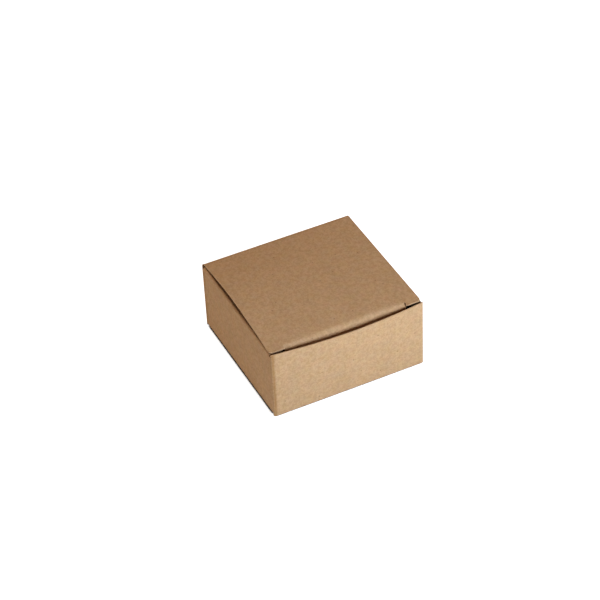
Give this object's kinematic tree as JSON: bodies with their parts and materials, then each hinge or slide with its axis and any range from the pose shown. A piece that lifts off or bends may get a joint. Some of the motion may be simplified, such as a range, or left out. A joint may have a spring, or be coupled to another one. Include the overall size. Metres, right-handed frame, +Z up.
{
  "type": "candy favor box",
  "caption": "Square kraft paperboard favor box with a hinged slit-lock tuck lid, folding dust flaps inside and a tuck bottom.",
  "frame": {"origin": "centre of the sleeve's footprint on the underside of the closed box", "axes": "+X to the right along the front wall, +Y from the front wall to the hinged back wall, +Z up through the lid"},
  "size_m": [0.0834, 0.0833, 0.042],
  "materials": {
    "kraft_board": "uncoated natural kraft paperboard, matte, with fine fibres and flecks"
  },
  "bodies": {
    "sleeve": {"front_wall": "kraft_board", "left_wall": "kraft_board", "back_wall": "kraft_board", "right_wall": "kraft_board", "glue_flap": "kraft_board"},
    "lid": {"lid": "kraft_board"},
    "tuck_flap": {"tuck_flap": "kraft_board"},
    "left_dust_flap": {"left_dust_flap": "kraft_board"},
    "right_dust_flap": {"right_dust_flap": "kraft_board"},
    "bottom_panel": {"bottom_panel": "kraft_board"},
    "bottom_tuck_flap": {"bottom_tuck_flap": "kraft_board"},
    "bottom_left_dust_flap": {"bottom_left_dust_flap": "kraft_board"},
    "bottom_right_dust_flap": {"bottom_right_dust_flap": "kraft_board"}
  },
  "joints": [
    {"name": "lid_open", "type": "hinge", "parent": "sleeve", "child": "lid", "pos_m": [0, 0.03974, 0.03894], "axis": [-1, 0, 0], "range_deg": [0, 180]},
    {"name": "tuck_fold", "type": "hinge", "parent": "lid", "child": "tuck_flap", "pos_m": [0, -0.03924, 0.03764], "axis": [-1, 0, 0], "range_deg": [0, 90]},
    {"name": "left_dust_fold", "type": "hinge", "parent": "sleeve", "child": "left_dust_flap", "pos_m": [-0.04129, 0, 0.03814], "axis": [0, -1, 0], "range_deg": [0, 90]},
    {"name": "right_dust_fold", "type": "hinge", "parent": "sleeve", "child": "right_dust_flap", "pos_m": [0.04129, 0, 0.03814], "axis": [0, 1, 0], "range_deg": [0, 90]},
    {"name": "bottom_open", "type": "hinge", "parent": "sleeve", "child": "bottom_panel", "pos_m": [0, 0.03974, 0.00046], "axis": [1, 0, 0], "range_deg": [0, 180]},
    {"name": "bottom_tuck_fold", "type": "hinge", "parent": "bottom_panel", "child": "bottom_tuck_flap", "pos_m": [0, -0.03754, 0.00106], "axis": [1, 0, 0], "range_deg": [0, 90]},
    {"name": "bottom_left_dust_fold", "type": "hinge", "parent": "sleeve", "child": "bottom_left_dust_flap", "pos_m": [-0.04129, 0, 0.00126], "axis": [0, 1, 0], "range_deg": [0, 90]},
    {"name": "bottom_right_dust_fold", "type": "hinge", "parent": "sleeve", "child": "bottom_right_dust_flap", "pos_m": [0.04129, 0, 0.00126], "axis": [0, -1, 0], "range_deg": [0, 90]}
  ],
  "couplings": [
    {"joint": "tuck_fold", "follows": "lid_open", "ratio": 0.5},
    {"joint": "left_dust_fold", "follows": "lid_open", "ratio": 0.5},
    {"joint": "right_dust_fold", "follows": "lid_open", "ratio": 0.5},
    {"joint": "bottom_tuck_fold", "follows": "bottom_open", "ratio": 0.5},
    {"joint": "bottom_left_dust_fold", "follows": "bottom_open", "ratio": 0.5},
    {"joint": "bottom_right_dust_fold", "follows": "bottom_open", "ratio": 0.5}
  ]
}
